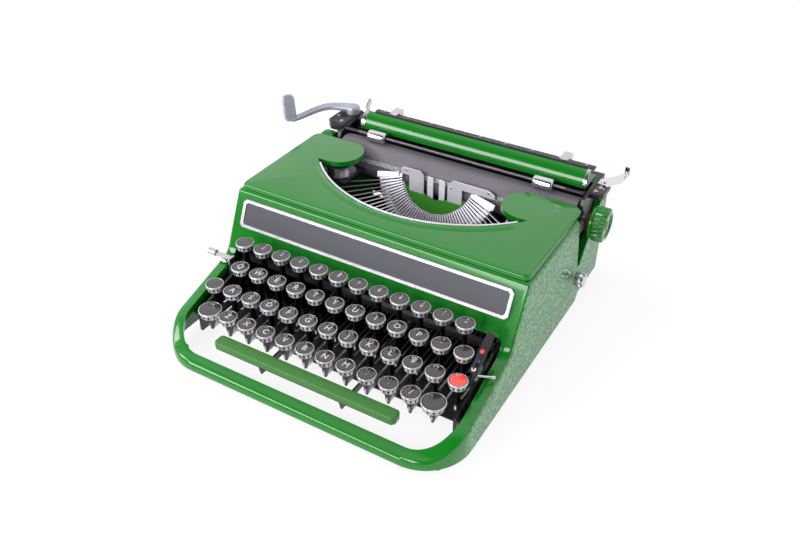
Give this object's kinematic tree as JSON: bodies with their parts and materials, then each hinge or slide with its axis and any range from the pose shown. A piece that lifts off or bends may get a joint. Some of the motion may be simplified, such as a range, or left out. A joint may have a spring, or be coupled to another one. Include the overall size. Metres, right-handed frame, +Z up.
{
  "type": "portable manual typewriter",
  "caption": "Portable manual typewriter with a green pressed case, round keys on levers, a typebar segment and a sliding carriage with platen, bail and return lever.",
  "frame": {"origin": "on the table, midway between the outermost pieces from left to right and between the case's front and rear faces", "axes": "+X to the typist's right, +Y from the typist to the back, +Z up"},
  "size_m": [0.3338, 0.314, 0.136],
  "materials": {
    "green_paint": "gloss enamel",
    "slate_plate": "satin",
    "bright_trim": "bright",
    "black_paint": "satin black",
    "steel": "brushed",
    "black_rubber": "matt",
    "platen_rubber": "matt",
    "key_plastic": "gloss with a bright rim",
    "space_plastic": "satin green",
    "red_plastic": "gloss",
    "green_plastic": "gloss"
  },
  "bodies": {
    "machine": {"case_shell": "green_paint", "rubber_feet": "black_rubber", "nameplate_frame": "bright_trim", "nameplate_panel": "slate_plate", "bottom_plate": "black_paint", "chassis": "black_paint", "lever_comb": "black_paint", "typebar_segment": "steel", "segment_cover": "green_paint", "typebars": "steel", "type_guide": "black_paint", "carriage_rail": "steel", "selector_plate": "black_paint"},
    "cover": {"top_cover": "green_paint", "mouth_trim": "bright_trim"},
    "carriage": {"carriage_frame": "black_paint", "carriage_cap_left": "black_paint", "carriage_cap_right": "black_paint", "line_scale": "bright_trim", "paper_table": "green_paint", "margin_scale": "black_paint"},
    "platen": {"platen_roller": "platen_rubber", "knob_left": "green_plastic", "knob_right": "green_plastic"},
    "paper_bail": {"paper_bail": "bright_trim"},
    "home_key_01": {"home_key_01": "key_plastic"},
    "home_key_02": {"home_key_02": "key_plastic"},
    "home_key_03": {"home_key_03": "key_plastic"},
    "home_key_04": {"home_key_04": "key_plastic"},
    "home_key_05": {"home_key_05": "key_plastic"},
    "home_key_06": {"home_key_06": "key_plastic"},
    "home_key_07": {"home_key_07": "key_plastic"},
    "home_key_08": {"home_key_08": "key_plastic"},
    "home_key_09": {"home_key_09": "key_plastic"},
    "home_key_10": {"home_key_10": "key_plastic"},
    "home_key_11": {"home_key_11": "key_plastic"},
    "number_row_keys": {"number_row_keys": "key_plastic"},
    "upper_row_keys": {"upper_row_keys": "key_plastic"},
    "lower_row_keys": {"lower_row_keys": "key_plastic"},
    "backspace_key": {"backspace_key": "key_plastic"},
    "margin_release_key": {"margin_release_key": "key_plastic"},
    "shift_lock_key": {"shift_lock_key": "key_plastic"},
    "tab_key": {"tab_key": "red_plastic"},
    "shift_key_left": {"shift_key_left": "key_plastic"},
    "shift_key_right": {"shift_key_right": "key_plastic"},
    "space_bar": {"space_bar": "space_plastic"},
    "typebar_moving": {"typebar_moving": "steel"},
    "ribbon_vibrator": {"ribbon_vibrator": "steel"},
    "ribbon_spool_left": {"ribbon_spool_left": "steel"},
    "bail_roller_left": {"bail_roller_left": "steel"},
    "ribbon_spool_right": {"ribbon_spool_right": "steel"},
    "bail_roller_right": {"bail_roller_right": "steel"},
    "margin_stop_left": {"margin_stop_left": "steel"},
    "margin_stop_right": {"margin_stop_right": "steel"},
    "return_lever": {"return_lever": "bright_trim"},
    "carriage_release": {"carriage_release": "steel"},
    "paper_release": {"paper_release": "bright_trim"},
    "touch_lever": {"touch_lever": "steel"},
    "ribbon_selector": {"ribbon_selector": "steel"},
    "side_knob": {"side_knob": "steel"}
  },
  "joints": [
    {"name": "cover_lift", "type": "slide", "parent": "machine", "child": "cover", "axis": [0, 0, 1], "range_m": [0, 0.06]},
    {"name": "carriage_slide", "type": "slide", "parent": "machine", "child": "carriage", "axis": [1, 0, 0], "range_m": [-0.113, 0.095]},
    {"name": "platen_turn", "type": "hinge", "parent": "carriage", "child": "platen", "pos_m": [0.01992, 0.098, 0.087], "axis": [1, 0, 0], "continuous": true},
    {"name": "bail_lift", "type": "hinge", "parent": "carriage", "child": "paper_bail", "pos_m": [0.01992, 0.115, 0.101], "axis": [-1, 0, 0], "range_deg": [0, 18]},
    {"name": "home_key_01_press", "type": "hinge", "parent": "machine", "child": "home_key_01", "pos_m": [0.01092, 0.057, 0.027], "axis": [1, 0, 0], "range_deg": [0, 4], "stiffness_Nm_per_rad": 0.3, "springref_deg": -6.88},
    {"name": "home_key_02_press", "type": "hinge", "parent": "machine", "child": "home_key_02", "pos_m": [0.01092, 0.057, 0.027], "axis": [1, 0, 0], "range_deg": [0, 4], "stiffness_Nm_per_rad": 0.3, "springref_deg": -6.88},
    {"name": "home_key_03_press", "type": "hinge", "parent": "machine", "child": "home_key_03", "pos_m": [0.01092, 0.057, 0.027], "axis": [1, 0, 0], "range_deg": [0, 4], "stiffness_Nm_per_rad": 0.3, "springref_deg": -6.88},
    {"name": "home_key_04_press", "type": "hinge", "parent": "machine", "child": "home_key_04", "pos_m": [0.01092, 0.057, 0.027], "axis": [1, 0, 0], "range_deg": [0, 4], "stiffness_Nm_per_rad": 0.3, "springref_deg": -6.88},
    {"name": "home_key_05_press", "type": "hinge", "parent": "machine", "child": "home_key_05", "pos_m": [0.01092, 0.057, 0.027], "axis": [1, 0, 0], "range_deg": [0, 4], "stiffness_Nm_per_rad": 0.3, "springref_deg": -6.88},
    {"name": "home_key_06_press", "type": "hinge", "parent": "machine", "child": "home_key_06", "pos_m": [0.01092, 0.057, 0.027], "axis": [1, 0, 0], "range_deg": [0, 4], "stiffness_Nm_per_rad": 0.3, "springref_deg": -6.88},
    {"name": "home_key_07_press", "type": "hinge", "parent": "machine", "child": "home_key_07", "pos_m": [0.01092, 0.057, 0.027], "axis": [1, 0, 0], "range_deg": [0, 4], "stiffness_Nm_per_rad": 0.3, "springref_deg": -6.88},
    {"name": "home_key_08_press", "type": "hinge", "parent": "machine", "child": "home_key_08", "pos_m": [0.01092, 0.057, 0.027], "axis": [1, 0, 0], "range_deg": [0, 4], "stiffness_Nm_per_rad": 0.3, "springref_deg": -6.88},
    {"name": "home_key_09_press", "type": "hinge", "parent": "machine", "child": "home_key_09", "pos_m": [0.01092, 0.057, 0.027], "axis": [1, 0, 0], "range_deg": [0, 4], "stiffness_Nm_per_rad": 0.3, "springref_deg": -6.88},
    {"name": "home_key_10_press", "type": "hinge", "parent": "machine", "child": "home_key_10", "pos_m": [0.01092, 0.057, 0.027], "axis": [1, 0, 0], "range_deg": [0, 4], "stiffness_Nm_per_rad": 0.3, "springref_deg": -6.88},
    {"name": "home_key_11_press", "type": "hinge", "parent": "machine", "child": "home_key_11", "pos_m": [0.01092, 0.057, 0.027], "axis": [1, 0, 0], "range_deg": [0, 4], "stiffness_Nm_per_rad": 0.3, "springref_deg": -6.88},
    {"name": "number_row_keys_press", "type": "hinge", "parent": "machine", "child": "number_row_keys", "pos_m": [0.01092, 0.057, 0.027], "axis": [1, 0, 0], "range_deg": [0, 4], "stiffness_Nm_per_rad": 2, "springref_deg": -6.88},
    {"name": "upper_row_keys_press", "type": "hinge", "parent": "machine", "child": "upper_row_keys", "pos_m": [0.01092, 0.057, 0.027], "axis": [1, 0, 0], "range_deg": [0, 4], "stiffness_Nm_per_rad": 2, "springref_deg": -6.88},
    {"name": "lower_row_keys_press", "type": "hinge", "parent": "machine", "child": "lower_row_keys", "pos_m": [0.01092, 0.057, 0.027], "axis": [1, 0, 0], "range_deg": [0, 4], "stiffness_Nm_per_rad": 2, "springref_deg": -6.88},
    {"name": "backspace_key_press", "type": "hinge", "parent": "machine", "child": "backspace_key", "pos_m": [0.01092, 0.057, 0.027], "axis": [1, 0, 0], "range_deg": [0, 4], "stiffness_Nm_per_rad": 0.3, "springref_deg": -6.88},
    {"name": "margin_release_key_press", "type": "hinge", "parent": "machine", "child": "margin_release_key", "pos_m": [0.01092, 0.057, 0.027], "axis": [1, 0, 0], "range_deg": [0, 4], "stiffness_Nm_per_rad": 0.3, "springref_deg": -6.88},
    {"name": "shift_lock_key_press", "type": "hinge", "parent": "machine", "child": "shift_lock_key", "pos_m": [0.01092, 0.057, 0.027], "axis": [1, 0, 0], "range_deg": [0, 4], "stiffness_Nm_per_rad": 0.3, "springref_deg": -6.88},
    {"name": "tab_key_press", "type": "hinge", "parent": "machine", "child": "tab_key", "pos_m": [0.01092, 0.057, 0.027], "axis": [1, 0, 0], "range_deg": [0, 4], "stiffness_Nm_per_rad": 0.3, "springref_deg": -6.88},
    {"name": "shift_key_left_press", "type": "hinge", "parent": "machine", "child": "shift_key_left", "pos_m": [0.01092, 0.057, 0.027], "axis": [1, 0, 0], "range_deg": [0, 4], "stiffness_Nm_per_rad": 0.3, "springref_deg": -6.88},
    {"name": "shift_key_right_press", "type": "hinge", "parent": "machine", "child": "shift_key_right", "pos_m": [0.01092, 0.057, 0.027], "axis": [1, 0, 0], "range_deg": [0, 4], "stiffness_Nm_per_rad": 0.3, "springref_deg": -6.88},
    {"name": "space_bar_press", "type": "hinge", "parent": "machine", "child": "space_bar", "pos_m": [0.01092, 0.057, 0.027], "axis": [1, 0, 0], "range_deg": [0, 3.5], "stiffness_Nm_per_rad": 0.6, "springref_deg": -6.88},
    {"name": "typebar_swing", "type": "hinge", "parent": "machine", "child": "typebar_moving", "pos_m": [0.01092, 0.05767, 0.05112], "axis": [-1, 0, 0], "range_deg": [0, 107]},
    {"name": "vibrator_rise", "type": "slide", "parent": "machine", "child": "ribbon_vibrator", "axis": [0, 0, 1], "range_m": [0, 0.008]},
    {"name": "spool_turn_left", "type": "hinge", "parent": "machine", "child": "ribbon_spool_left", "pos_m": [-0.08357, 0.061, 0.0871], "axis": [0, 0, 1], "continuous": true},
    {"name": "bail_roller_turn_left", "type": "hinge", "parent": "paper_bail", "child": "bail_roller_left", "pos_m": [-0.06458, 0.0998, 0.1104], "axis": [1, 0, 0], "continuous": true},
    {"name": "spool_turn_right", "type": "hinge", "parent": "machine", "child": "ribbon_spool_right", "pos_m": [0.10542, 0.061, 0.0871], "axis": [0, 0, 1], "continuous": true},
    {"name": "bail_roller_turn_right", "type": "hinge", "parent": "paper_bail", "child": "bail_roller_right", "pos_m": [0.10442, 0.0998, 0.1104], "axis": [1, 0, 0], "continuous": true},
    {"name": "margin_slide_left", "type": "slide", "parent": "carriage", "child": "margin_stop_left", "axis": [1, 0, 0], "range_m": [-0.015, 0.07]},
    {"name": "margin_slide_right", "type": "slide", "parent": "carriage", "child": "margin_stop_right", "axis": [1, 0, 0], "range_m": [-0.08, 0.023]},
    {"name": "return_lever_swing", "type": "hinge", "parent": "carriage", "child": "return_lever", "pos_m": [-0.11108, 0.129, 0.115], "axis": [0, 0, 1], "range_deg": [0, 35], "stiffness_Nm_per_rad": 0.2, "springref_deg": -11.46},
    {"name": "carriage_release_press", "type": "hinge", "parent": "carriage", "child": "carriage_release", "pos_m": [0.14992, 0.1255, 0.111], "axis": [0, 0, 1], "range_deg": [0, 10], "stiffness_Nm_per_rad": 0.05, "springref_deg": -11.46},
    {"name": "paper_release_tip", "type": "hinge", "parent": "carriage", "child": "paper_release", "pos_m": [-0.09228, 0.127, 0.1132], "axis": [1, 0, 0], "range_deg": [0, 14]},
    {"name": "touch_lever_tip", "type": "hinge", "parent": "machine", "child": "touch_lever", "pos_m": [-0.11457, -0.065, 0.038], "axis": [1, 0, 0], "range_deg": [-8, 8]},
    {"name": "ribbon_selector_tip", "type": "hinge", "parent": "machine", "child": "ribbon_selector", "pos_m": [0.13692, -0.0892, 0.0482], "axis": [1, 0, 0], "range_deg": [-10, 10]},
    {"name": "side_knob_turn", "type": "hinge", "parent": "machine", "child": "side_knob", "pos_m": [0.14992, 0.07, 0.045], "axis": [1, 0, 0], "continuous": true}
  ],
  "couplings": [
    {"joint": "typebar_swing", "follows": "home_key_06_press", "ratio": 26.75},
    {"joint": "vibrator_rise", "follows": "home_key_06_press", "m_per_rad": 0.1145},
    {"joint": "spool_turn_left", "follows": "spool_turn_right", "ratio": 1},
    {"joint": "shift_key_left_press", "follows": "shift_key_right_press", "ratio": 1}
  ]
}
